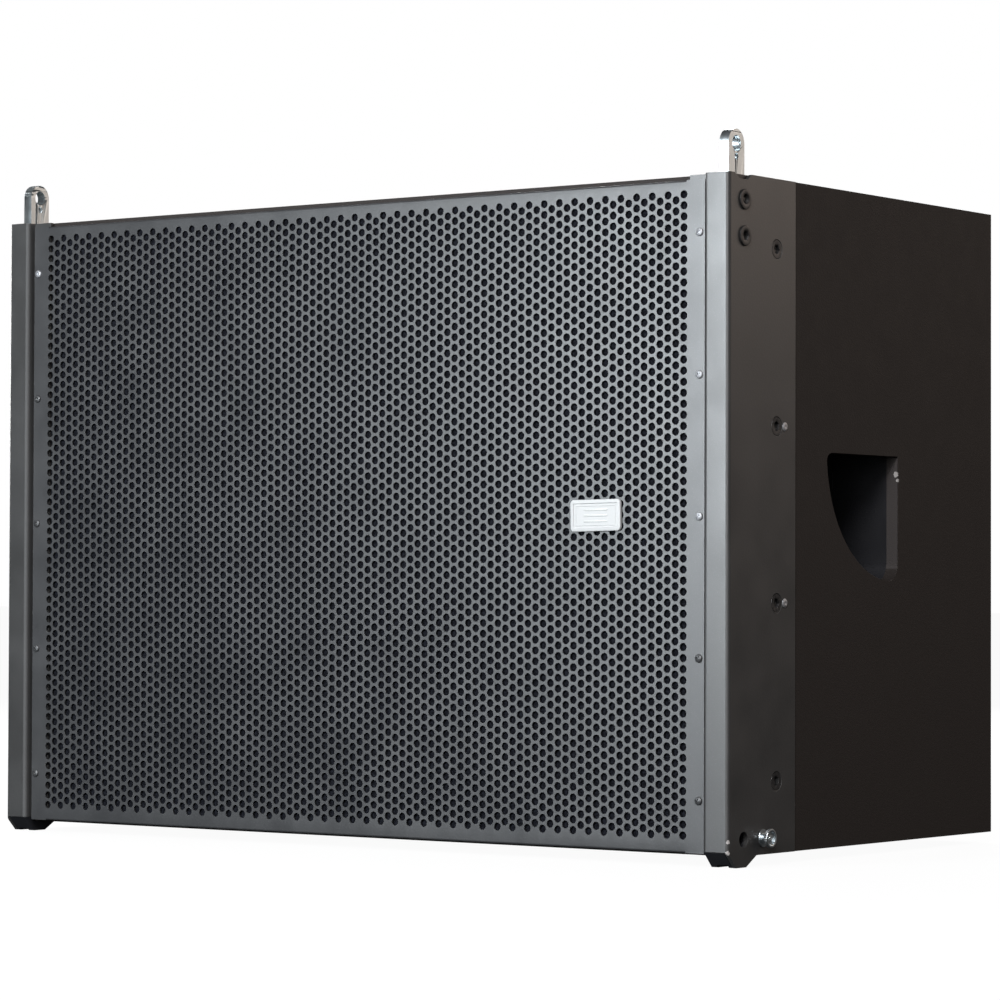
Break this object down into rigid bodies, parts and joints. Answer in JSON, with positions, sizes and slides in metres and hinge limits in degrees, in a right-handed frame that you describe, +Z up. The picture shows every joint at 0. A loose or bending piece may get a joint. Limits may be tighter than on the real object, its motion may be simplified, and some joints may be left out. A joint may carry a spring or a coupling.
{
  "type": "line array loudspeaker",
  "caption": "Rectangular line array bass loudspeaker with perforated grille, steel side rails, sliding link bars, ball-lock pins and quarter-round hand recesses.",
  "frame": {"origin": "floor plane under the feet, midway across the width and the depth", "axes": "+X to the right of a person facing the grille, +Y from the grille to the back, +Z up"},
  "size_m": [0.7246, 0.386, 0.533],
  "materials": {
    "textured_paint": "textured black paint on plywood",
    "birch_ply": "raw birch plywood",
    "rail_powder_coat": "satin dark grey powder coat",
    "grille_powder_coat": "satin dark grey powder coat",
    "stainless_steel": "polished",
    "black_zinc": "black zinc plated steel",
    "black_plastic": "fine moulded grain",
    "rubber": "matte",
    "acoustic_foam": "open-cell foam",
    "wadding": "polyester wadding",
    "badge_silver": "pale anodised",
    "cast_frame": "black cast aluminium",
    "gasket": "matte",
    "surround": "doped cloth",
    "cone_paper": "coated paper",
    "copper": "enamelled wire",
    "spider_cloth": "impregnated cloth",
    "ferrite": "sintered",
    "zinc_plate": "zinc plated",
    "cable_pvc": "cable sheath"
  },
  "bodies": {
    "cabinet": {"back_panel": "textured_paint", "badge": "badge_silver", "bottom_panel": "textured_paint", "connector_plate": "rail_powder_coat", "cross_brace": "birch_ply", "damping_wadding": "wadding", "detent_plunger_left": "black_zinc", "detent_plunger_right": "black_zinc", "foot_block_left": "black_plastic", "foot_block_right": "black_plastic", "front_baffle": "textured_paint", "grille": "grille_powder_coat", "grille_foam": "acoustic_foam", "guide_bolt_left": "black_zinc", "guide_bolt_right": "black_zinc", "handle_cup_left": "black_plastic", "handle_cup_right": "black_plastic", "internal_cable": "cable_pvc", "link_guide_left": "black_zinc", "link_guide_right": "black_zinc", "magnet_front_plate": "zinc_plate", "magnet_ring": "ferrite", "magnet_yoke": "zinc_plate", "port_wall_left": "birch_ply", "port_wall_right": "birch_ply", "rail_left": "rail_powder_coat", "rail_right": "rail_powder_coat", "rail_screw_left_1": "black_zinc", "rail_screw_left_2": "black_zinc", "rail_screw_left_3": "black_zinc", "rail_screw_left_4": "black_zinc", "rail_screw_right_1": "black_zinc", "rail_screw_right_2": "black_zinc", "rail_screw_right_3": "black_zinc", "rail_screw_right_4": "black_zinc", "rear_foot_left": "rubber", "rear_foot_right": "rubber", "rear_link_guide": "black_zinc", "rear_receiver": "black_zinc", "side_panel_left": "textured_paint", "side_panel_right": "textured_paint", "speaker_socket_input": "black_plastic", "speaker_socket_link": "black_plastic", "top_panel": "textured_paint", "woofer_frame": "cast_frame", "woofer_gasket": "gasket", "woofer_spider": "spider_cloth", "woofer_surround": "surround"},
    "link_bar_left": {"link_bar_left": "stainless_steel"},
    "link_bar_right": {"link_bar_right": "stainless_steel"},
    "lock_pin_left": {"lock_pin_left": "stainless_steel"},
    "lock_pin_right": {"lock_pin_right": "stainless_steel"},
    "pin_button_left": {"pin_button_left": "stainless_steel"},
    "pin_button_right": {"pin_button_right": "stainless_steel"},
    "rear_link_bar": {"rear_link_bar": "stainless_steel"},
    "rear_lock_pin": {"rear_lock_pin": "stainless_steel"},
    "rear_pin_button": {"rear_pin_button": "stainless_steel"},
    "cone": {"woofer_cone": "cone_paper", "woofer_dust_cap": "cone_paper", "voice_coil": "copper"}
  },
  "joints": [
    {"name": "link_bar_right_slide", "type": "slide", "parent": "cabinet", "child": "link_bar_right", "axis": [0, 0, 1], "range_m": [-0.033, 0]},
    {"name": "lock_pin_right_pull", "type": "slide", "parent": "cabinet", "child": "lock_pin_right", "axis": [1, 0, 0], "range_m": [0, 0.025]},
    {"name": "pin_button_right_press", "type": "slide", "parent": "lock_pin_right", "child": "pin_button_right", "axis": [-1, 0, 0], "range_m": [0, 0.0025], "stiffness_N_per_m": 400},
    {"name": "link_bar_left_slide", "type": "slide", "parent": "cabinet", "child": "link_bar_left", "axis": [0, 0, 1], "range_m": [-0.033, 0]},
    {"name": "lock_pin_left_pull", "type": "slide", "parent": "cabinet", "child": "lock_pin_left", "axis": [-1, 0, 0], "range_m": [0, 0.025]},
    {"name": "pin_button_left_press", "type": "slide", "parent": "lock_pin_left", "child": "pin_button_left", "axis": [1, 0, 0], "range_m": [0, 0.0025], "stiffness_N_per_m": 400},
    {"name": "rear_link_slide", "type": "slide", "parent": "cabinet", "child": "rear_link_bar", "axis": [0, 0, 1], "range_m": [0, 0.06]},
    {"name": "rear_lock_pin_pull", "type": "slide", "parent": "cabinet", "child": "rear_lock_pin", "axis": [0, 1, 0], "range_m": [0, 0.02]},
    {"name": "rear_pin_button_press", "type": "slide", "parent": "rear_lock_pin", "child": "rear_pin_button", "axis": [0, -1, 0], "range_m": [0, 0.0018], "stiffness_N_per_m": 300},
    {"name": "woofer_cone_stroke", "type": "slide", "parent": "cabinet", "child": "cone", "axis": [0, -1, 0], "range_m": [-0.006, 0.006], "stiffness_N_per_m": 4000, "deforming": ["woofer_surround", "woofer_spider"]}
  ]
}
